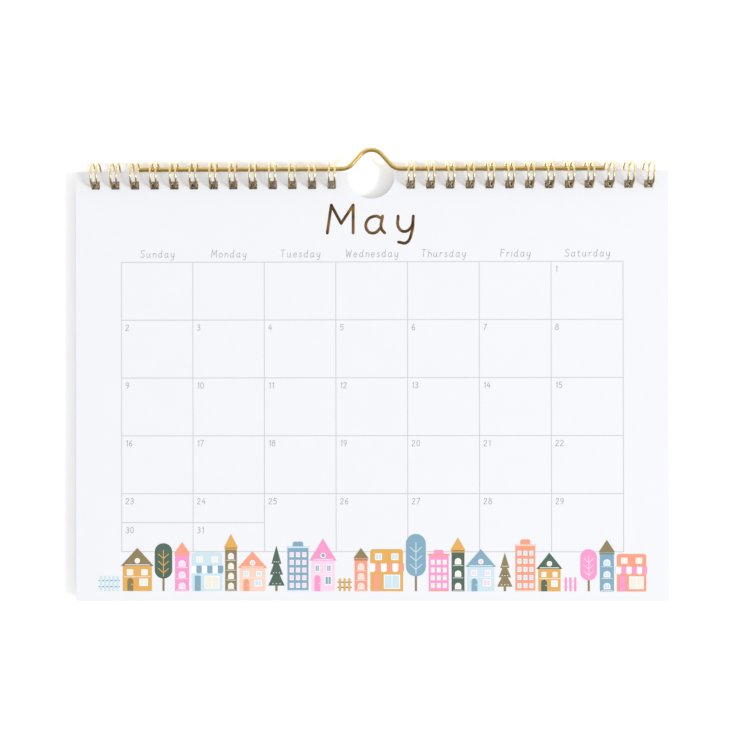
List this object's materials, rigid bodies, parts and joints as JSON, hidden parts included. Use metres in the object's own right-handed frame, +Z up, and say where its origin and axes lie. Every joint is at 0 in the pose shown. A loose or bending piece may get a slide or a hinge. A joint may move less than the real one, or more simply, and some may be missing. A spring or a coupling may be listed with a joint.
{
  "type": "wall calendar",
  "caption": "Landscape month-per-page wall calendar bound along the top with twin-loop wire, on a wire hanger with a thumb cut below its hump.",
  "frame": {"origin": "underside of the crown of the hanger's hump, where the nail bears", "axes": "+Z up as hung, +X to the reader's right along the binding, printed side faces -Y"},
  "size_m": [0.254, 0.0113, 0.1946],
  "materials": {
    "hanger_wire": "gold-coloured wire, satin bright",
    "binding_wire": "pale gold-coloured wire, bright",
    "leaf_paper": "smooth uncoated white paper, printed",
    "back_board": "smooth white board"
  },
  "bodies": {
    "hanger": {"hanger": "hanger_wire"},
    "binding": {"wire_binding_left": "binding_wire", "wire_binding_right": "binding_wire", "back_card": "back_board"},
    "month_leaves": {"month_leaves": "leaf_paper"},
    "turned_leaves": {"turned_leaves": "leaf_paper"}
  },
  "joints": [
    {"name": "hanging_swing", "type": "hinge", "parent": "hanger", "child": "binding", "pos_m": [0, 0, -0.00714], "axis": [-1, 0, 0], "range_deg": [0, 45]},
    {"name": "month_leaves_lift", "type": "hinge", "parent": "binding", "child": "month_leaves", "pos_m": [0, 0, -0.00962], "axis": [-1, 0, 0], "range_deg": [0, 130]},
    {"name": "turned_leaves_lift", "type": "hinge", "parent": "binding", "child": "turned_leaves", "pos_m": [0, 0, -0.00962], "axis": [1, 0, 0], "range_deg": [0, 25]}
  ]
}
